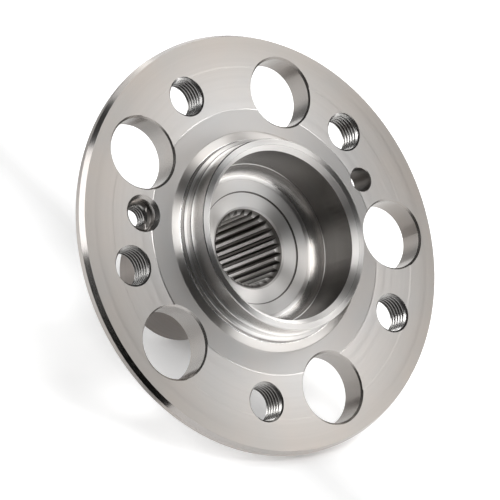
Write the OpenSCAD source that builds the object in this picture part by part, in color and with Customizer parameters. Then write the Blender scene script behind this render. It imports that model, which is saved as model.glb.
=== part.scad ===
// Driven wheel hub: a flanged, splined hub turned and drilled from one forging.
// The hub axis is Z, with the nose up. The origin is where the axis meets the bolting face.
// The forging is drawn as the sections that a turner would name, which meet face to face.

/* [Wheel flange] */
// Diameter over the flange rim
flange_d = 146.6; // [143:0.1:152]
// Thickness of the flange from the bolting face to its back
flange_t = 10; // [8:0.1:12]
// Width of the polished bevel at the front of the rim, on the radius
rim_bevel_w = 1.0; // [0.3:0.1:2]
// Depth of the polished bevel along the axis
rim_bevel_t = 2.0; // [0.5:0.1:3]
// Length of the straight land behind the polished bevel
rim_land_l = 2.1; // [1:0.1:3]
// Width of the long bevel at the back of the rim, on the radius
rim_back_bevel_w = 4.0; // [1:0.1:5]
// Height of the two raised seating bands above the bolting face
seat_band_h = 0.15; // [0.05:0.05:0.3]
// Inner diameter of the outer seating band
outer_band_d = 123.6; // [121:0.1:127]
// Outer diameter of the inner seating band
inner_band_d = 92.6; // [88:0.1:94]

/* [Flange holes] */
// Number of wheel bolts, and of access holes
bolt_n = 5; // [3:1:5]
// Diameter of the circle through the wheel bolts
bolt_circle_d = 112; // [110:0.1:114]
// Nominal diameter of the wheel bolt threads
bolt_thread_d = 14; // [12:0.5:14.5]
// Angle from each access hole to the wheel bolt after it, clockwise from the nose
bolt_angle = 30; // [27:0.5:33]
// Diameter of the circle through the access holes
access_circle_d = 109.6; // [108:0.1:112]
// Diameter of the access holes
access_d = 24.4; // [20:0.1:25]
// Leg of the chamfers on the access holes
access_chamfer = 0.7; // [0.3:0.1:1.2]
// Diameter of the circle through the disc pin hole and the disc screw
disc_circle_d = 99.4; // [98:0.1:101]
// Diameter of the disc pin hole
pin_d = 8.4; // [6:0.1:9]
// Leg of the chamfers on the disc pin hole
pin_chamfer = 0.5; // [0.2:0.1:0.8]
// Angle from the first wheel bolt to the disc pin hole, clockwise
pin_angle = 18; // [16:0.5:20]
// Nominal diameter of the disc screw thread
screw_thread_d = 8; // [6:0.5:8]
// Angle from the last wheel bolt but one to the disc screw, clockwise
screw_angle = 19.5; // [18:0.5:21]
// Diameter of the counterbore over the disc screw thread
screw_recess_d = 10.6; // [9.5:0.1:11.5]
// Depth of the counterbore over the disc screw thread
screw_recess_t = 3.8; // [2.5:0.1:5]
// Leg of the chamfer at the mouth of the counterbore
screw_chamfer = 1.1; // [0.3:0.1:1.3]

/* [Pilots and cup] */
// Diameter of the wheel pilot
wheel_pilot_d = 66.5; // [65:0.1:68]
// Height of the nose above the bolting face
nose_h = 10.9; // [8:0.1:16]
// Leg of the chamfer at the front of the wheel pilot
nose_chamfer = 0.3; // [0.2:0.05:0.8]
// Width of the flat ring at the front of the nose
nose_ring_w = 1.95; // [1:0.05:2.1]
// Depth of the lead-in cone inside the nose ring
mouth_cone_t = 1.9; // [1:0.1:3]
// Thickness of the nose wall at the foot of the lead-in cone
cup_wall = 3.85; // [3:0.05:5]
// Draft of the cup wall on the radius, from the mouth to the floor
cup_draft = 1.0; // [0.2:0.1:2]
// Radius of the fillet round the cup floor
cup_fillet = 4.2; // [2:0.1:6]
// Depth of the cup floor below the bolting face
cup_floor_t = 9.8; // [8:0.1:12]
// Step from the wheel pilot out to the disc pilot
disc_pilot_w = 0.75; // [0.6:0.05:1]
// Height of the disc pilot above the bolting face
disc_pilot_h = 4.6; // [3.5:0.1:6]
// Leg of the chamfer at the front of the disc pilot
disc_pilot_chamfer = 0.15; // [0.1:0.05:0.4]
// Step from the disc pilot out to the collar at the foot of the nose
collar_w = 1.2; // [0.8:0.1:1.6]
// Height of the collar above the bolting face
collar_h = 2.15; // [1.8:0.05:2.8]
// Leg of the chamfer at the front of the collar
collar_chamfer = 0.15; // [0.1:0.05:0.4]
// Radius of the fillet at the foot of the collar
collar_fillet = 0.5; // [0.3:0.1:0.8]
// Width of the relieved ring in the flange face round the collar
face_relief_w = 3.4; // [2.5:0.1:4]
// Depth of the relieved ring at its outer edge
face_relief_t = 0.1; // [0.05:0.05:0.4]
// Height that the relieved ring rises to at the foot of the collar
face_relief_rise = 0.3; // [0.1:0.05:0.5]

/* [Rear of the hub] */
// Distance from the bolting face to the bearing shoulder
shoulder_t = 17.5; // [15:0.1:20]
// Diameter of the bearing shoulder
shoulder_d = 58; // [54:0.1:62]
// Radius of the fillet between the flange and the barrel
barrel_fillet = 3; // [1:0.1:4]

/* [Splined spindle] */
// Diameter of the bearing journal
journal_d = 45; // [42:0.1:48]
// Length of the bearing journal behind the shoulder
journal_l = 42.3; // [36:0.1:50]
// Radius of the fillet between the journal and the shoulder
journal_fillet = 1.5; // [0.5:0.1:2]
// Leg of the chamfer at the end of the journal
journal_chamfer = 1.2; // [0.5:0.1:2]
// Diameter of the spot face that the axle nut seats on
nut_seat_d = 39.8; // [36:0.1:42]
// Depth of the nut seat below the cup floor
nut_seat_t = 0.6; // [0.2:0.1:1]
// Number of spline teeth
spline_n = 26; // [20:1:36]
// Diameter over the roots of the spline grooves
spline_major_d = 27.4; // [26.6:0.1:29]
// Diameter inside the tips of the spline teeth
spline_minor_d = 24.6; // [23:0.1:25.4]
// Share of the pitch that a tooth takes at its tip
spline_tip_share = 0.34; // [0.25:0.01:0.5]
// Share of the pitch that a groove takes at its root
spline_root_share = 0.22; // [0.1:0.01:0.35]
// Distance that the lead-in cone runs past the spline roots on the radius
spline_lead = 0.9; // [0.3:0.1:1.5]

/* [Hidden] */
$fn = 96;
steel = [0.74, 0.73, 0.72];
turned_steel = [0.68, 0.67, 0.66];
ground_steel = [0.80, 0.80, 0.80];

// How far a cutting shape runs past the face that it opens
past = 1;
flange_r = flange_d / 2;
pilot_r = wheel_pilot_d / 2;
disc_r = pilot_r + disc_pilot_w;
collar_r = disc_r + collar_w;
core_r = collar_r + face_relief_w;
// The cup is widest at the foot of the lead-in cone and narrows by its draft down to the floor
mouth_r = pilot_r - cup_wall;
mouth_h = nose_h - mouth_cone_t;
cup_r = mouth_r - cup_draft;
nose_ring_r = pilot_r - nose_chamfer - nose_ring_w;
nut_seat_z = -cup_floor_t - nut_seat_t;
spindle_end = -shoulder_t - journal_l;
barrel_r = core_r - barrel_fillet;
spline_mouth_r = spline_major_d / 2 + spline_lead;
// The spindle's head fills the barrel out to where the journal's fillet meets the shoulder
journal_r = journal_d / 2;
head_r = journal_r + journal_fillet;

// Cup that takes the axle nut, as a solid to be cut away, up to past the nose
module cup_shape()
    rotate_extrude() {
        difference() {
            polygon([[0, -cup_floor_t], [cup_r, -cup_floor_t], [mouth_r, mouth_h],
                     [nose_ring_r, nose_h], [nose_ring_r, nose_h + past], [0, nose_h + past]]);
            // Square corner that the fillet leaves on the barrel
            translate([cup_r - cup_fillet, -cup_floor_t - past])
                square([cup_fillet + past, cup_fillet + past]);
        }
        intersection() {
            translate([cup_r - cup_fillet, -cup_floor_t + cup_fillet]) circle(cup_fillet);
            translate([cup_r - cup_fillet, -cup_floor_t - past])
                square([cup_fillet + past, cup_fillet + past]);
        }
    }

// Round bar with a chamfer at both ends that opens wider than the bar, to cut a hole down from z
module chamfered_drill(r, depth, chamfer, z)
    translate([0, 0, z])
        rotate_extrude()
            polygon([[0, past], [r + chamfer + past, past], [r, -chamfer], [r, chamfer - depth],
                     [r + chamfer + past, -depth - past], [0, -depth - past]]);

// Places its children at an angle clockwise from the first access hole, seen from the nose
module at_clock(angle, circle_d)
    rotate([0, 0, 90 - angle]) translate([circle_d / 2, 0, 0]) children();

// Front ring of the nose, which centres the wheel
module wheel_pilot() color(ground_steel)
    difference() {
        rotate_extrude()
            polygon([[0, disc_pilot_h], [pilot_r, disc_pilot_h], [pilot_r, nose_h - nose_chamfer],
                     [pilot_r - nose_chamfer, nose_h], [0, nose_h]]);
        cup_shape();
    }

// Ring behind the wheel pilot, which centres the brake disc, with a low collar at its foot
module disc_pilot() color(ground_steel)
    difference() {
        rotate_extrude()
            difference() {
                polygon([[0, face_relief_rise], [collar_r + collar_fillet, face_relief_rise],
                         [collar_r + collar_fillet, face_relief_rise + collar_fillet],
                         [collar_r, face_relief_rise + collar_fillet],
                         [collar_r, collar_h - collar_chamfer],
                         [collar_r - collar_chamfer, collar_h], [disc_r, collar_h],
                         [disc_r, disc_pilot_h - disc_pilot_chamfer],
                         [disc_r - disc_pilot_chamfer, disc_pilot_h], [0, disc_pilot_h]]);
                translate([collar_r + collar_fillet, face_relief_rise + collar_fillet])
                    circle(collar_fillet);
            }
        cup_shape();
    }

// Section of the flange from the barrel to the rim, with its two raised seating bands
module flange_section()
    polygon([[core_r, -flange_t], [core_r, seat_band_h],
             [inner_band_d / 2, seat_band_h], [inner_band_d / 2, 0],
             [outer_band_d / 2 - 4 * seat_band_h, 0], [outer_band_d / 2, seat_band_h],
             [flange_r - rim_bevel_w, seat_band_h], [flange_r, seat_band_h - rim_bevel_t],
             [flange_r, seat_band_h - rim_bevel_t - rim_land_l],
             [flange_r - rim_back_bevel_w, -flange_t]]);

// Counterbored and drilled hole for the screw that holds the brake disc
module disc_screw_hole() {
    recess_r = screw_recess_d / 2;
    rotate_extrude()
        polygon([[0, past], [recess_r + screw_chamfer + past, past], [recess_r, -screw_chamfer],
                 [recess_r, -screw_recess_t], [0, -screw_recess_t]]);
    translate([0, 0, -flange_t - past])
        cylinder(d = screw_thread_d, h = flange_t + past);
}

// Round plate that carries the wheel and the disc, drilled for bolts and for access behind it
module wheel_flange() color(steel)
    difference() {
        rotate_extrude() flange_section();
        for (i = [0 : bolt_n - 1]) {
            at_clock(i * 360 / bolt_n, access_circle_d)
                chamfered_drill(access_d / 2, flange_t + seat_band_h, access_chamfer, seat_band_h);
            at_clock(i * 360 / bolt_n + bolt_angle, bolt_circle_d)
                translate([0, 0, -flange_t - past])
                    cylinder(d = bolt_thread_d, h = flange_t + seat_band_h + 2 * past);
        }
        at_clock(bolt_angle + pin_angle, disc_circle_d)
            chamfered_drill(pin_d / 2, flange_t + seat_band_h, pin_chamfer, seat_band_h);
        at_clock((bolt_n - 2) * 360 / bolt_n + bolt_angle + screw_angle, disc_circle_d)
            disc_screw_hole();
    }

// Core of the hub inside and behind the flange, with the cup floor and the bearing shoulder
module hub_barrel() color(turned_steel)
    difference() {
        rotate_extrude()
            difference() {
                polygon([[head_r, -shoulder_t], [shoulder_d / 2, -shoulder_t],
                         [barrel_r, -flange_t - barrel_fillet], [core_r, -flange_t - barrel_fillet],
                         [core_r, -face_relief_t],
                         [collar_r + collar_fillet, face_relief_rise],
                         [head_r, face_relief_rise]]);
                translate([core_r, -flange_t - barrel_fillet]) circle(barrel_fillet);
            }
        cup_shape();
    }

// Outline of the splined hole: a round hole with one tapered groove for each tooth space
module spline_outline() {
    minor_r = spline_minor_d / 2;
    major_r = spline_major_d / 2;
    pitch = 360 / spline_n;
    // Half widths of a groove at the tips of the teeth and at its own root
    tip_half = minor_r * sin(pitch * (1 - spline_tip_share) / 2);
    root_half = major_r * sin(pitch * spline_root_share / 2);
    circle(minor_r);
    intersection() {
        circle(major_r);
        for (i = [0 : spline_n - 1])
            rotate([0, 0, 90 + i * pitch])
                polygon([[minor_r / 2, -tip_half], [minor_r, -tip_half], [major_r, -root_half],
                         [major_r + past, -root_half], [major_r + past, root_half],
                         [major_r, root_half], [minor_r, tip_half], [minor_r / 2, tip_half]]);
    }
}

// Cone that leads a splined shaft into one end of the hole, opening towards +Z from z = 0
module spline_lead_in()
    rotate_extrude()
        polygon([[0, past], [spline_mouth_r + past, past],
                 [spline_minor_d / 2 - past, spline_minor_d / 2 - past - spline_mouth_r],
                 [0, spline_minor_d / 2 - past - spline_mouth_r]]);

// Spindle with the axle nut's seat on top, the splined hole inside and the bearing journal outside
module splined_spindle() color(turned_steel)
    difference() {
        rotate_extrude()
            difference() {
                polygon([[0, cup_fillet - cup_floor_t], [head_r, cup_fillet - cup_floor_t],
                         [head_r, -shoulder_t - journal_fillet],
                         [journal_r, -shoulder_t - journal_fillet],
                         [journal_r, spindle_end + journal_chamfer],
                         [journal_r - journal_chamfer, spindle_end], [0, spindle_end]]);
                translate([head_r, -shoulder_t - journal_fillet]) circle(journal_fillet);
            }
        cup_shape();
        translate([0, 0, nut_seat_z]) cylinder(d = nut_seat_d, h = nut_seat_t + past);
        translate([0, 0, spindle_end - past])
            linear_extrude(height = nut_seat_z - spindle_end + 2 * past) spline_outline();
        translate([0, 0, nut_seat_z]) spline_lead_in();
        translate([0, 0, spindle_end]) mirror([0, 0, 1]) spline_lead_in();
    }

wheel_pilot();
disc_pilot();
wheel_flange();
hub_barrel();
splined_spindle();
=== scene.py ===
# Driven wheel hub in turned steel, leaning on its rim and spindle on a pale studio floor.
# The sections follow the hub from the camera and the flange inwards to the splined spindle.
import math

import bmesh
import bpy
from mathutils import Matrix, Vector


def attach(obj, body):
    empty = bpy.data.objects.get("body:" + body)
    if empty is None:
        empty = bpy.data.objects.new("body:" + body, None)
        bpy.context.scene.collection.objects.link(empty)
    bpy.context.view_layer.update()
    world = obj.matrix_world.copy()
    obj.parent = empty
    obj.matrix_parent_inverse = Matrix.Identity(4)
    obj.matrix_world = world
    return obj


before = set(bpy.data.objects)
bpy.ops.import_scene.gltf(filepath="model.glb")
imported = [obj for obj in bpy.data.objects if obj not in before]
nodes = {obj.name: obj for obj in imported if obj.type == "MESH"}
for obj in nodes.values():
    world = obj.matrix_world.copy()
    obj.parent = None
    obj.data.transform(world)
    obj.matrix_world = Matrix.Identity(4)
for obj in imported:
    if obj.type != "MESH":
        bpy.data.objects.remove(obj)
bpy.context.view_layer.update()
MM = 0.001

# Camera: a long lens that looks at the bolting face from the lower left, close to the hub's axis.
# Clock angles go clockwise from the first access hole, seen from the nose.


def at_clock(clock, radius, z):
    """Point at a clock angle and a radius round the hub's axis, in metres."""
    a = math.radians(clock)
    return Vector((radius * math.sin(a), radius * math.cos(a), z))


CAMERA_CLOCK = 237.19
CAMERA_ABOVE_FACE = 52.47
CAMERA_DISTANCE = 907.7 * MM
CAMERA_AIM = Vector((-6.47 * MM, -5.03 * MM, 0))
CAMERA_ROLL = 68.28
camera_data = bpy.data.cameras.new("camera")
camera_data.sensor_fit = "HORIZONTAL"
camera_data.sensor_width = 36
camera_data.lens = 193.3
camera_data.clip_start = 0.05
camera = bpy.data.objects.new("camera", camera_data)
bpy.context.collection.objects.link(camera)
tilt = math.radians(CAMERA_ABOVE_FACE)
to_camera = at_clock(CAMERA_CLOCK, math.cos(tilt), math.sin(tilt))
# The picture's up is the hub's axis as the camera sees it, turned back by the roll
axis_seen = (Vector((0, 0, 1)) - to_camera * to_camera.z).normalized()
picture_up = Matrix.Rotation(math.radians(CAMERA_ROLL), 3, to_camera) @ axis_seen
picture_right = picture_up.cross(to_camera)
camera.matrix_world = Matrix.LocRotScale(
    CAMERA_AIM + to_camera * CAMERA_DISTANCE,
    Matrix((picture_right, picture_up, to_camera)).transposed(), None)
bpy.context.scene.camera = camera

# Wheel flange: the drilled plate of the forging, faced on the lathe in one clean cut per band.
# It is plain steel with fine rings, and the drilled holes are cut through it. Its finish, rings
# left by the lathe tool under a thin film of oil, is made once here for all the turned sections.


def node_group(name, inputs, outputs):
    """Empty shader node group with named sockets, given as (name, socket type, default value)."""
    group = bpy.data.node_groups.new(name, "ShaderNodeTree")
    for label, kind, value in inputs:
        socket = group.interface.new_socket(label, in_out="INPUT", socket_type=kind)
        socket.default_value = value
    for label, kind in outputs:
        group.interface.new_socket(label, in_out="OUTPUT", socket_type=kind)
    return group, group.nodes.new("NodeGroupInput"), group.nodes.new("NodeGroupOutput")


def math_node(tree, operation, first, second=None, third=None):
    """Math node whose inputs are sockets or numbers; returns its output."""
    node = tree.nodes.new("ShaderNodeMath")
    node.operation = operation
    for slot, value in enumerate((first, second, third)):
        if isinstance(value, bpy.types.NodeSocket):
            tree.links.new(value, node.inputs[slot])
        elif value is not None:
            node.inputs[slot].default_value = value
    return node.outputs[0]


def build_lathe_marks():
    """Group that puts out lathe rings at two pitches, a mottled film and where a point lies.

    Radius and Height are in millimetres, from the hub's axis and from the bolting face.
    """
    group, given, result = node_group(
        "lathe_marks",
        [("Fine Pitch", "NodeSocketFloat", 0.3), ("Broad Pitch", "NodeSocketFloat", 2.0)],
        [("Fine", "NodeSocketFloat"), ("Broad", "NodeSocketFloat"), ("Film", "NodeSocketFloat"),
         ("Flat", "NodeSocketFloat"), ("Radius", "NodeSocketFloat"),
         ("Height", "NodeSocketFloat")])
    place = group.nodes.new("ShaderNodeTexCoord")
    split = group.nodes.new("ShaderNodeSeparateXYZ")
    group.links.new(place.outputs["Object"], split.inputs[0])
    squares = math_node(group, "ADD",
                        math_node(group, "MULTIPLY", split.outputs[0], split.outputs[0]),
                        math_node(group, "MULTIPLY", split.outputs[1], split.outputs[1]))
    radius = math_node(group, "SQRT", squares)
    # Distance along the cut in millimetres, on faces and cylinders alike
    along = math_node(group, "MULTIPLY", math_node(group, "SUBTRACT", radius, split.outputs[2]),
                      1000)
    for label, pitch, detail in (("Fine", "Fine Pitch", 3), ("Broad", "Broad Pitch", 4)):
        rings = group.nodes.new("ShaderNodeTexNoise")
        rings.noise_dimensions = "1D"
        rings.inputs["Scale"].default_value = 1
        rings.inputs["Detail"].default_value = detail
        rings.inputs["Roughness"].default_value = 0.6
        group.links.new(math_node(group, "DIVIDE", along, given.outputs[pitch]), rings.inputs["W"])
        group.links.new(rings.outputs["Fac"], result.inputs[label])
    film = group.nodes.new("ShaderNodeTexNoise")
    film.inputs["Scale"].default_value = 38
    film.inputs["Detail"].default_value = 3
    film.inputs["Roughness"].default_value = 0.55
    group.links.new(place.outputs["Object"], film.inputs["Vector"])
    group.links.new(film.outputs["Fac"], result.inputs["Film"])
    # One where the surface faces along the axis, none on walls and chamfers
    facing = group.nodes.new("ShaderNodeSeparateXYZ")
    group.links.new(place.outputs["Normal"], facing.inputs[0])
    flat = math_node(group, "GREATER_THAN", math_node(group, "ABSOLUTE", facing.outputs[2]), 0.95)
    group.links.new(flat, result.inputs["Flat"])
    group.links.new(math_node(group, "MULTIPLY", radius, 1000), result.inputs["Radius"])
    group.links.new(math_node(group, "MULTIPLY", split.outputs[2], 1000), result.inputs["Height"])
    return group


lathe_marks = build_lathe_marks()


def turned_metal(name, colour, warm, roughness, anisotropy, fine_pitch, broad_pitch, depth,
                 wall_roughness=None):
    """Steel turned on a lathe: rings round the axis that stretch its highlights across them."""
    material = bpy.data.materials.new(name)
    material.use_nodes = True
    tree = material.node_tree
    shader = tree.nodes["Principled BSDF"]
    shader.inputs["Metallic"].default_value = 1
    shader.inputs["Anisotropic"].default_value = anisotropy
    # A quarter turn, because the steel is rough across the rings and smooth along them
    shader.inputs["Anisotropic Rotation"].default_value = 0.25
    marks = tree.nodes.new("ShaderNodeGroup")
    marks.node_tree = lathe_marks
    marks.inputs["Fine Pitch"].default_value = fine_pitch
    marks.inputs["Broad Pitch"].default_value = broad_pitch
    tint = tree.nodes.new("ShaderNodeMix")
    tint.data_type = "RGBA"
    tint.inputs["A"].default_value = (*colour, 1)
    tint.inputs["B"].default_value = (*warm, 1)
    span = tree.nodes.new("ShaderNodeMapRange")
    span.inputs["From Min"].default_value = 0.35
    span.inputs["From Max"].default_value = 0.65
    tree.links.new(marks.outputs["Film"], span.inputs["Value"])
    tree.links.new(span.outputs["Result"], tint.inputs["Factor"])
    tree.links.new(tint.outputs["Result"], shader.inputs["Base Color"])
    # The broad rings vary how rough the cut is
    spread = tree.nodes.new("ShaderNodeMapRange")
    spread.inputs["From Min"].default_value = 0.3
    spread.inputs["From Max"].default_value = 0.7
    spread.inputs["To Min"].default_value = roughness * 0.88
    spread.inputs["To Max"].default_value = roughness * 1.12
    tree.links.new(marks.outputs["Broad"], spread.inputs["Value"])
    if wall_roughness is None:
        tree.links.new(spread.outputs["Result"], shader.inputs["Roughness"])
    else:
        # Walls and chamfers are cut smoother than the flat faces
        either = tree.nodes.new("ShaderNodeMix")
        either.inputs["A"].default_value = wall_roughness
        tree.links.new(marks.outputs["Flat"], either.inputs["Factor"])
        tree.links.new(spread.outputs["Result"], either.inputs["B"])
        tree.links.new(either.outputs["Result"], shader.inputs["Roughness"])
    bump = tree.nodes.new("ShaderNodeBump")
    bump.inputs["Distance"].default_value = depth * MM
    tree.links.new(marks.outputs["Fine"], bump.inputs["Height"])
    tree.links.new(bump.outputs["Normal"], shader.inputs["Normal"])
    round_axis = tree.nodes.new("ShaderNodeTangent")
    round_axis.direction_type = "RADIAL"
    round_axis.axis = "Z"
    tree.links.new(round_axis.outputs["Tangent"], shader.inputs["Tangent"])
    return material


def between(tree, value, low, high):
    """One where a value lies between two bounds."""
    return math_node(tree, "MULTIPLY", math_node(tree, "GREATER_THAN", value, low),
                     math_node(tree, "LESS_THAN", value, high))


def finish_where(material, mask, tone=None, roughness=None):
    """Multiplies the metal's colour by a tone and sets its roughness where the mask is one."""
    tree = material.node_tree
    shader = tree.nodes["Principled BSDF"]
    for label, value in (("Base Color", tone), ("Roughness", roughness)):
        if value is None:
            continue
        blend = tree.nodes.new("ShaderNodeMix")
        if label == "Base Color":
            blend.data_type = "RGBA"
            blend.blend_type = "MULTIPLY"
            value = (*value, 1)
        tree.links.new(mask, blend.inputs["Factor"])
        tree.links.new(shader.inputs[label].links[0].from_socket, blend.inputs["A"])
        blend.inputs["B"].default_value = value
        tree.links.new(blend.outputs["Result"], shader.inputs[label])


def dress(node, material):
    """Gives a CAD node its material in every slot."""
    for slot in nodes[node].material_slots:
        slot.material = material


faced_steel = turned_metal("faced_steel", (0.57, 0.56, 0.55), (0.60, 0.57, 0.545),
                           roughness=0.53, anisotropy=0.45, fine_pitch=0.6, broad_pitch=3.0,
                           depth=0.002, wall_roughness=0.26)
# The face is a little darker and warmer towards the rim
DARKENING_INNER_R, DARKENING_OUTER_R = 46, 70
face_tree = faced_steel.node_tree
face_shader = face_tree.nodes["Principled BSDF"]
face_marks = face_tree.nodes["Group"]
outwards = face_tree.nodes.new("ShaderNodeMapRange")
outwards.inputs["From Min"].default_value = DARKENING_INNER_R
outwards.inputs["From Max"].default_value = DARKENING_OUTER_R
face_tree.links.new(face_marks.outputs["Radius"], outwards.inputs["Value"])
darker_outwards = face_tree.nodes.new("ShaderNodeMix")
darker_outwards.data_type = "RGBA"
darker_outwards.blend_type = "MULTIPLY"
darker_outwards.inputs["B"].default_value = (0.78, 0.755, 0.73, 1)
face_tree.links.new(outwards.outputs["Result"], darker_outwards.inputs["Factor"])
face_tree.links.new(face_shader.inputs["Base Color"].links[0].from_socket, darker_outwards.inputs["A"])
face_tree.links.new(darker_outwards.outputs["Result"], face_shader.inputs["Base Color"])
# The inner seating band ends in a fine turned edge, smoother than the face on both sides of it
BAND_EDGE_R = 46.45
EDGE_HALF_WIDTH = 0.25
BUMP_HALF_WIDTH = 0.2
BUMP_STEP = 0.15 * MM
edge_slope = face_tree.nodes.new("ShaderNodeMapRange")
edge_slope.interpolation_type = "SMOOTHSTEP"
edge_slope.inputs["From Min"].default_value = BAND_EDGE_R - BUMP_HALF_WIDTH
edge_slope.inputs["From Max"].default_value = BAND_EDGE_R + BUMP_HALF_WIDTH
edge_slope.inputs["To Min"].default_value = 1
edge_slope.inputs["To Max"].default_value = 0
face_tree.links.new(face_marks.outputs["Radius"], edge_slope.inputs["Value"])
edge_bump = face_tree.nodes.new("ShaderNodeBump")
edge_bump.inputs["Distance"].default_value = BUMP_STEP
face_tree.links.new(math_node(face_tree, "MULTIPLY", edge_slope.outputs["Result"],
                              face_marks.outputs["Flat"]), edge_bump.inputs["Height"])
face_tree.links.new(face_shader.inputs["Normal"].links[0].from_socket, edge_bump.inputs["Normal"])
face_tree.links.new(edge_bump.outputs["Normal"], face_shader.inputs["Normal"])
finish_where(faced_steel, math_node(
    face_tree, "MULTIPLY", face_marks.outputs["Flat"],
    between(face_tree, face_marks.outputs["Radius"], BAND_EDGE_R - EDGE_HALF_WIDTH,
            BAND_EDGE_R + EDGE_HALF_WIDTH)), roughness=0.3)
# The inner seating band is cut finer, so light streaks across it
finish_where(faced_steel, math_node(
    face_tree, "MULTIPLY", face_marks.outputs["Flat"],
    math_node(face_tree, "LESS_THAN", face_marks.outputs["Radius"],
              BAND_EDGE_R - EDGE_HALF_WIDTH)), roughness=0.41)
# The bevel at the front of the rim is polished, the land and the bevel behind it are duller
BEVEL_INNER_R = 72.3
BEVEL_FOOT_Z = -1.85
RIM_BACK_R = 69
bevel = math_node(face_tree, "MULTIPLY",
                  math_node(face_tree, "GREATER_THAN", face_marks.outputs["Radius"],
                            BEVEL_INNER_R),
                  math_node(face_tree, "GREATER_THAN", face_marks.outputs["Height"],
                            BEVEL_FOOT_Z))
behind = math_node(face_tree, "MULTIPLY",
                   math_node(face_tree, "GREATER_THAN", face_marks.outputs["Radius"],
                             RIM_BACK_R),
                   math_node(face_tree, "LESS_THAN", face_marks.outputs["Height"],
                             BEVEL_FOOT_Z))
finish_where(faced_steel, bevel, tone=(1.0, 1.01, 1.03), roughness=0.2)
finish_where(faced_steel, behind, tone=(1.25, 1.25, 1.26), roughness=0.42)
# The walls and chamfers of the holes are bored; their darker grey is painted shade inside the holes
HOLES_INNER_R, HOLES_OUTER_R = 42, 68
finish_where(faced_steel, math_node(
    face_tree, "MULTIPLY", math_node(face_tree, "SUBTRACT", 1, face_marks.outputs["Flat"]),
    between(face_tree, face_marks.outputs["Radius"], HOLES_INNER_R, HOLES_OUTER_R)),
             tone=(0.78, 0.77, 0.76))


def near_axis(tree, centre, radius):
    """One inside a drilled hole, given its centre on the face."""
    place = tree.nodes.new("ShaderNodeTexCoord")
    apart = tree.nodes.new("ShaderNodeVectorMath")
    apart.operation = "DISTANCE"
    flat_place = tree.nodes.new("ShaderNodeVectorMath")
    flat_place.operation = "MULTIPLY"
    flat_place.inputs[1].default_value = (1, 1, 0)
    tree.links.new(place.outputs["Object"], flat_place.inputs[0])
    tree.links.new(flat_place.outputs["Vector"], apart.inputs[0])
    apart.inputs[1].default_value = centre
    return math_node(tree, "LESS_THAN", apart.outputs["Value"], radius)


# The small holes are drilled, so their walls are duller; their dark tone is painted shade inside
# the holes
DISC_CIRCLE_R = 49.7 * MM
PIN_HOLE_PLACE = at_clock(48, DISC_CIRCLE_R, 0)
SCREW_HOLE_PLACE = at_clock(265.5, DISC_CIRCLE_R, 0)
finish_where(faced_steel, near_axis(face_tree, PIN_HOLE_PLACE, 4.3 * MM),
             tone=(0.3, 0.29, 0.28), roughness=0.4)
finish_where(faced_steel, near_axis(face_tree, SCREW_HOLE_PLACE, 5.25 * MM),
             tone=(0.42, 0.41, 0.4), roughness=0.3)
dress("wheel_flange", faced_steel)

# Wheel bolt threads: M14 x 1.5, tapped right through the flange and chamfered at both faces.
# Each is a helical ridge that stands on the wall of the drilled hole.

BOLT_CIRCLE_R = 56 * MM
FLANGE_BACK = -10 * MM
THREAD_STEPS = 64
BOLT_MAJOR_R = 7 * MM
BOLT_PITCH = 1.5 * MM
FIRST_BOLT_CLOCK = 30


def thread_ridge(name, major_r, pitch, top, bottom):
    """Ridge of an inside thread round the Z axis, from top to bottom, chamfered at both ends."""
    minor_r = major_r - 0.5413 * pitch
    chamfer_r = major_r + 0.05 * MM
    crest, root = pitch / 8, pitch * 7 / 16
    # The ridge's foot stands in the wall of the hole
    foot = 0.03 * MM
    start = bottom - 1.5 * pitch
    mesh = bmesh.new()
    corners = [mesh.verts.new((r, 0, start + z)) for r, z in (
        (major_r + foot, -root), (minor_r, -crest), (minor_r, crest), (major_r + foot, root))]
    ridge = [mesh.edges.new(pair) for pair in zip(corners, corners[1:] + corners[:1])]
    turns = (top - bottom) / pitch + 3
    steps = int(turns * THREAD_STEPS)
    bmesh.ops.spin(mesh, geom=corners + ridge, cent=(0, 0, 0), axis=(0, 0, 1),
                   dvec=(0, 0, pitch / THREAD_STEPS), angle=math.tau * steps / THREAD_STEPS,
                   steps=steps, use_duplicate=False, use_merge=False)
    # The chamfers take the ridge down into the wall at both faces, where its ends close up
    for vert in mesh.verts:
        vert.co.z = min(max(vert.co.z, bottom), top)
        radius = math.hypot(vert.co.x, vert.co.y)
        for z in (top, bottom):
            least = chamfer_r - abs(vert.co.z - z)
            if radius < least:
                vert.co.xy *= least / radius
                radius = least
    bmesh.ops.remove_doubles(mesh, verts=mesh.verts, dist=0.001 * MM)
    bmesh.ops.dissolve_degenerate(mesh, edges=mesh.edges, dist=0.001 * MM)
    bmesh.ops.delete(mesh, geom=[v for v in mesh.verts if not v.link_faces], context="VERTS")
    bmesh.ops.recalc_face_normals(mesh, faces=mesh.faces)
    data = bpy.data.meshes.new(name)
    mesh.to_mesh(data)
    mesh.free()
    return data


# The threads' steel is darker than the face: painted shade in the thread grooves
tapped_steel = turned_metal("tapped_steel", (0.34, 0.335, 0.33), (0.38, 0.37, 0.355),
                            roughness=0.24, anisotropy=0, fine_pitch=0.3, broad_pitch=1.0,
                            depth=0.004)


def tapped(name, place, thread):
    """Thread piece at a place on the flange."""
    thread.transform(Matrix.Translation(place))
    thread.shade_smooth()
    thread.set_sharp_from_angle(angle=math.radians(30))
    piece = bpy.data.objects.new(name, thread)
    piece.data.materials.append(tapped_steel)
    bpy.context.collection.objects.link(piece)
    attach(piece, "root")


for number in range(5):
    tapped(f"wheel_bolt_thread_{number + 1}",
           at_clock(FIRST_BOLT_CLOCK + 72 * number, BOLT_CIRCLE_R, 0),
           thread_ridge(f"wheel_bolt_thread_{number + 1}", BOLT_MAJOR_R, BOLT_PITCH, 0,
                        FLANGE_BACK))

# Disc screw thread: M8 x 1.25, tapped below the counterbore and right through to the back.
# It takes the screw that holds the brake disc until the wheel is on.

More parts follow.
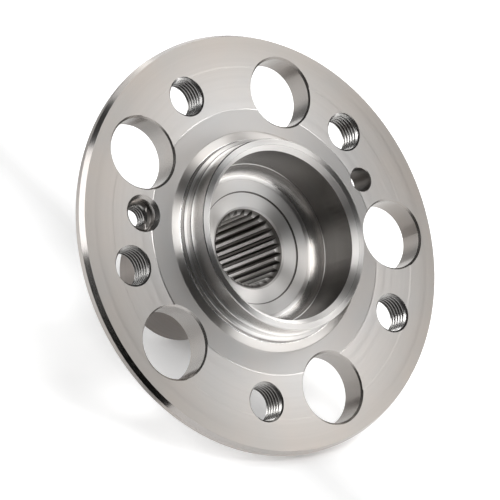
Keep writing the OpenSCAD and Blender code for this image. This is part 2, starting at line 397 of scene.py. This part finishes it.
SCREW_MAJOR_R = 4 * MM
SCREW_PITCH = 1.25 * MM
COUNTERBORE_FLOOR = -3.8 * MM
tapped("disc_screw_thread", SCREW_HOLE_PLACE,
       thread_ridge("disc_screw_thread", SCREW_MAJOR_R, SCREW_PITCH, COUNTERBORE_FLOOR,
                    FLANGE_BACK))

# Disc pilot: ring at the foot of the nose with a low collar round it, part of the forging.
# It is turned fine to the size of the brake disc's bore, bright like the ring in front of it.

pilot_steel = turned_metal("pilot_steel", (0.62, 0.612, 0.605), (0.64, 0.62, 0.60),
                           roughness=0.3, anisotropy=1, fine_pitch=0.6, broad_pitch=1.2,
                           depth=0.0006, wall_roughness=0.16)
# The lead-in cone at the mouth is cut coarser than the pilots, and the cup's wall under it is
# darker: painted shade inside the cup
pilot_tree = pilot_steel.node_tree
pilot_marks = pilot_tree.nodes["Group"]
MOUTH_R = 31.02
CONE_FOOT_Z = 9
in_mouth = math_node(pilot_tree, "MULTIPLY",
                     math_node(pilot_tree, "LESS_THAN", pilot_marks.outputs["Radius"], MOUTH_R),
                     math_node(pilot_tree, "SUBTRACT", 1, pilot_marks.outputs["Flat"]))
above_wall = math_node(pilot_tree, "GREATER_THAN", pilot_marks.outputs["Height"], CONE_FOOT_Z)
finish_where(pilot_steel, math_node(pilot_tree, "MULTIPLY", in_mouth, above_wall),
             tone=(1.27, 1.27, 1.27), roughness=0.38)
finish_where(pilot_steel, math_node(pilot_tree, "MULTIPLY", in_mouth,
                                    math_node(pilot_tree, "SUBTRACT", 1, above_wall)),
             tone=(0.4, 0.39, 0.38), roughness=0.25)
dress("disc_pilot", pilot_steel)

# Wheel pilot: front ring of the nose, part of the forging, with the cup's lead-in cone inside it.
# It is turned fine, in one cut with the disc pilot, to the size of the wheel's centre bore.

dress("wheel_pilot", pilot_steel)

# Hub barrel: core of the forging, with the cup's wall inside and the bearing shoulder behind.
# It is turned a little coarser than the pilots, and it is darker inside the cup: painted shade.

cup_steel = turned_metal("cup_steel", (0.60, 0.59, 0.58), (0.62, 0.595, 0.57),
                         roughness=0.3, anisotropy=1, fine_pitch=0.8, broad_pitch=1.8,
                         depth=0.001, wall_roughness=0.27)
cup_tree = cup_steel.node_tree
cup_marks = cup_tree.nodes["Group"]
# Inside the cup the metal is darker, most of all on the wall above the fillet: painted shade in the
# cup
CUP_R = 30.5
FILLET_TOP = -5.6
RELIEF_INNER_R = 34
inside = math_node(cup_tree, "MULTIPLY",
                   math_node(cup_tree, "LESS_THAN", cup_marks.outputs["Radius"], CUP_R),
                   math_node(cup_tree, "SUBTRACT", 1, cup_marks.outputs["Flat"]))
on_wall = math_node(cup_tree, "GREATER_THAN", cup_marks.outputs["Height"], FILLET_TOP)
finish_where(cup_steel, inside, tone=(0.6, 0.59, 0.58))
finish_where(cup_steel, math_node(cup_tree, "MULTIPLY", inside, on_wall),
             tone=(0.68, 0.68, 0.68))
# The relief ring round the nose is darker: painted shade in the groove
finish_where(cup_steel, math_node(cup_tree, "GREATER_THAN", cup_marks.outputs["Radius"],
                                  RELIEF_INNER_R), tone=(0.85, 0.84, 0.83))
dress("hub_barrel", cup_steel)

# Splined spindle: seat of the axle nut, broached splines through the middle and the journal.
# It is the rear end of the forging. The seat is faced, the splines are broached right through, and
# the journal is ground for the bearing.

spindle_steel = turned_metal("spindle_steel", (0.72, 0.71, 0.70), (0.74, 0.715, 0.69),
                             roughness=0.42, anisotropy=0.85, fine_pitch=0.6, broad_pitch=1.5,
                             depth=0.001)
# The spline grooves are darker: painted shade in the grooves
TOOTH_TIP_R, GROOVE_FULL_R, GROOVE_FLOOR_R = 12.35, 13.2, 13.95
spline_tree = spindle_steel.node_tree
spline_radius = spline_tree.nodes["Group"].outputs["Radius"]
spline_height = spline_tree.nodes["Group"].outputs["Height"]
spline_shader = spline_tree.nodes["Principled BSDF"]
groove = spline_tree.nodes.new("ShaderNodeMapRange")
groove.inputs["From Min"].default_value = TOOTH_TIP_R
groove.inputs["From Max"].default_value = GROOVE_FULL_R
spline_tree.links.new(spline_radius, groove.inputs["Value"])
beyond = math_node(spline_tree, "LESS_THAN", spline_radius, GROOVE_FLOOR_R)
wall = math_node(spline_tree, "SUBTRACT", 1, spline_tree.nodes["Group"].outputs["Flat"])
in_groove = math_node(spline_tree, "MULTIPLY",
                      math_node(spline_tree, "MULTIPLY", groove.outputs["Result"], beyond), wall)
groove_shade = spline_tree.nodes.new("ShaderNodeMix")
groove_shade.data_type = "RGBA"
groove_shade.blend_type = "MULTIPLY"
groove_shade.inputs["B"].default_value = (0.25, 0.24, 0.23, 1)
spline_tree.links.new(in_groove, groove_shade.inputs["Factor"])
spline_tree.links.new(spline_shader.inputs["Base Color"].links[0].from_socket, groove_shade.inputs["A"])
spline_tree.links.new(groove_shade.outputs["Result"], spline_shader.inputs["Base Color"])
# The tips of the spline teeth are lighter: painted highlight on the tips
BRIGHT_TIP_R = 12.45
finish_where(spindle_steel, math_node(
    spline_tree, "MULTIPLY", wall,
    math_node(spline_tree, "LESS_THAN", spline_radius, BRIGHT_TIP_R)), tone=(1.33, 1.33, 1.33))
# The journal, behind the flange, is darker and browner: painted shade behind the flange, with a
# browner tone of its own
JOURNAL_INNER_R = 20.2
JOURNAL_TOP = -17
finish_where(spindle_steel, math_node(
    spline_tree, "MULTIPLY",
    math_node(spline_tree, "GREATER_THAN", spline_radius, JOURNAL_INNER_R),
    math_node(spline_tree, "LESS_THAN", spline_height, JOURNAL_TOP)), tone=(0.38, 0.355, 0.34))
# A dark line lies in the corner of the nut's seat: painted shade in the corner
SEAT_CORNER_INNER_R, SEAT_CORNER_OUTER_R = 19.55, 19.95
finish_where(spindle_steel, between(spline_tree, spline_radius, SEAT_CORNER_INNER_R,
                                    SEAT_CORNER_OUTER_R), tone=(0.22, 0.21, 0.2))
dress("splined_spindle", spindle_steel)

# Studio floor: a pale sheet that the hub leans on with its rim and the end of its spindle.
# It shows only from above, so it doesn't hide the hub from a view below it.

LEAN_CLOCK = 159
FLOOR_RADIUS = 0.8
PAINTED_SHADOW_START, PAINTED_SHADOW_END = 2 * MM, 38 * MM
GLOW_IN_PAINTED_SHADOW, GLOW_OUTSIDE_SHADOW = 0.18, 0.62
RIM_TOUCH = Vector((69.3 * MM, -10 * MM))
SPINDLE_TOUCH = Vector((22.5 * MM, -58.6 * MM))
along_floor = (RIM_TOUCH - SPINDLE_TOUCH).normalized()
floor_up = at_clock(LEAN_CLOCK, -along_floor.y, along_floor.x)
floor_mesh = bmesh.new()
bmesh.ops.create_circle(floor_mesh, cap_ends=True, radius=FLOOR_RADIUS, segments=96)
bmesh.ops.transform(
    floor_mesh, verts=floor_mesh.verts,
    matrix=Matrix.Translation(at_clock(LEAN_CLOCK, RIM_TOUCH.x, RIM_TOUCH.y))
    @ floor_up.to_track_quat("Z", "Y").to_matrix().to_4x4())
floor_data = bpy.data.meshes.new("studio_floor")
floor_mesh.to_mesh(floor_data)
floor_mesh.free()
studio_floor = bpy.data.objects.new("studio_floor", floor_data)
bpy.context.collection.objects.link(studio_floor)

pale_sheet = bpy.data.materials.new("pale_sheet")
pale_sheet.use_nodes = True
sheet_tree = pale_sheet.node_tree
sheet_shader = sheet_tree.nodes["Principled BSDF"]
sheet_shader.inputs["Base Color"].default_value = (0.8, 0.8, 0.8, 1)
sheet_shader.inputs["Roughness"].default_value = 0.9
sheet_shader.inputs["Specular IOR Level"].default_value = 0
sheet_shader.inputs["Emission Color"].default_value = (1, 1, 1, 1)
rays = sheet_tree.nodes.new("ShaderNodeLightPath")
# The floor's own glow fades towards the line under the hub where it rests: a painted shadow, set by
# place and not cast by a lamp
along_hub = at_clock(LEAN_CLOCK + 90, 1, 0)
floor_place = sheet_tree.nodes.new("ShaderNodeTexCoord")
beside = sheet_tree.nodes.new("ShaderNodeVectorMath")
beside.operation = "DOT_PRODUCT"
beside.inputs[1].default_value = along_hub
sheet_tree.links.new(floor_place.outputs["Object"], beside.inputs[0])
glow_with_painted_shadow = sheet_tree.nodes.new("ShaderNodeMapRange")
glow_with_painted_shadow.inputs["From Min"].default_value = PAINTED_SHADOW_START
glow_with_painted_shadow.inputs["From Max"].default_value = PAINTED_SHADOW_END
glow_with_painted_shadow.inputs["To Min"].default_value = GLOW_IN_PAINTED_SHADOW
glow_with_painted_shadow.inputs["To Max"].default_value = GLOW_OUTSIDE_SHADOW
sheet_tree.links.new(math_node(sheet_tree, "ABSOLUTE", beside.outputs["Value"]),
                     glow_with_painted_shadow.inputs["Value"])
seen = math_node(sheet_tree, "MULTIPLY_ADD", rays.outputs["Is Camera Ray"], glow_with_painted_shadow.outputs["Result"],
                 math_node(sheet_tree, "MULTIPLY", rays.outputs["Is Glossy Ray"], 0.3))
sheet_tree.links.new(seen, sheet_shader.inputs["Emission Strength"])
unseen = sheet_tree.nodes.new("ShaderNodeBsdfTransparent")
side = sheet_tree.nodes.new("ShaderNodeNewGeometry")
from_behind = sheet_tree.nodes.new("ShaderNodeMixShader")
sheet_tree.links.new(side.outputs["Backfacing"], from_behind.inputs["Fac"])
sheet_tree.links.new(sheet_shader.outputs["BSDF"], from_behind.inputs[1])
sheet_tree.links.new(unseen.outputs["BSDF"], from_behind.inputs[2])
sheet_tree.links.new(from_behind.outputs["Shader"],
                     sheet_tree.nodes["Material Output"].inputs["Surface"])
floor_data.materials.append(pale_sheet)

# Dark card: lies on the floor in front of the hub at its left. The camera doesn't see it and it
# throws no shadow. It gives the polished bevel of the rim its black streak.

# It is turned a little, so that its far end comes further ahead
CARD_TURN = -11
CARD_LENGTH, CARD_DEPTH = 1200 * MM, 150 * MM
CARD_OUT, CARD_BACK, CARD_LIFT = 662 * MM, 72 * MM, 1 * MM
card_along = at_clock(LEAN_CLOCK + 90, 1, 0)
card_along.rotate(Matrix.Rotation(math.radians(CARD_TURN), 3, floor_up))
card_ahead = card_along.cross(floor_up)
card_mesh = bmesh.new()
bmesh.ops.create_grid(card_mesh, x_segments=1, y_segments=1, size=0.5)
bmesh.ops.transform(
    card_mesh, verts=card_mesh.verts,
    matrix=Matrix.LocRotScale(
        at_clock(LEAN_CLOCK, RIM_TOUCH.x, RIM_TOUCH.y) + card_along * CARD_OUT
        - card_ahead * CARD_BACK + floor_up * CARD_LIFT,
        Matrix((card_along, floor_up.cross(card_along), floor_up)).transposed(),
        Vector((CARD_LENGTH, CARD_DEPTH, 1))))
card_data = bpy.data.meshes.new("dark_card")
card_mesh.to_mesh(card_data)
card_mesh.free()
dark_card = bpy.data.objects.new("dark_card", card_data)
dark_card.visible_camera = False
dark_card.visible_diffuse = False
dark_card.visible_shadow = False
bpy.context.collection.objects.link(dark_card)
black_felt = bpy.data.materials.new("black_felt")
black_felt.use_nodes = True
felt_shader = black_felt.node_tree.nodes["Principled BSDF"]
felt_shader.inputs["Base Color"].default_value = (0.01, 0.01, 0.01, 1)
felt_shader.inputs["Roughness"].default_value = 1
felt_shader.inputs["Specular IOR Level"].default_value = 0
card_data.materials.append(black_felt)

# Studio light: a dim room with soft boxes round the hub, whose reflections make the bright streaks.
# The dark gaps between the boxes give the black ones. The camera sees the room as plain white.

BOX_DISTANCE = 1.5
ROOM_GLOW = 0.06


def soft_box(name, to_right, up, width, height, glow):
    """Soft box seen from the hub, its place and size in degrees from the camera's direction."""
    turn, rise = math.radians(to_right), math.radians(up)
    towards = (to_camera * math.cos(turn) + picture_right * math.sin(turn)) * math.cos(rise) \
        + picture_up * math.sin(rise)
    lamp = bpy.data.lights.new(name, "AREA")
    lamp.shape = "RECTANGLE"
    lamp.size = 2 * BOX_DISTANCE * math.tan(math.radians(width) / 2)
    lamp.size_y = 2 * BOX_DISTANCE * math.tan(math.radians(height) / 2)
    lamp.energy = glow * math.pi * lamp.size * lamp.size_y
    box = bpy.data.objects.new(name, lamp)
    box.visible_camera = False
    across = picture_up.cross(towards).normalized()
    box.matrix_world = Matrix.LocRotScale(
        towards * BOX_DISTANCE,
        Matrix((across, towards.cross(across), towards)).transposed(), None)
    bpy.context.collection.objects.link(box)


soft_box("right_low_box", 73, -8, 43, 18, 5.5)
soft_box("front_top_box", 26, 30, 26, 20, 6.5)
soft_box("left_box", -66, 26, 30, 42, 2.6)
soft_box("top_right_box", 67, 52, 16, 28, 4.5)
soft_box("right_back_box", 112, 44, 44, 24, 3.2)
soft_box("right_side_box", 104, 12, 20, 7, 3.5)
soft_box("back_top_box", 172, 44, 56, 34, 1.15)
soft_box("left_back_box", -138, 56, 24, 20, 1.1)

world = bpy.data.worlds.new("studio")
bpy.context.scene.world = world
world.use_nodes = True
room = world.node_tree
room.nodes["Background"].inputs["Color"].default_value = (1, 1, 1, 1)
sight = room.nodes.new("ShaderNodeLightPath")
dimmed = room.nodes.new("ShaderNodeMapRange")
dimmed.inputs["To Min"].default_value = ROOM_GLOW
dimmed.inputs["To Max"].default_value = 1
room.links.new(sight.outputs["Is Camera Ray"], dimmed.inputs["Value"])
room.links.new(dimmed.outputs["Result"], room.nodes["Background"].inputs["Strength"])

bpy.context.scene.view_settings.view_transform = "Standard"
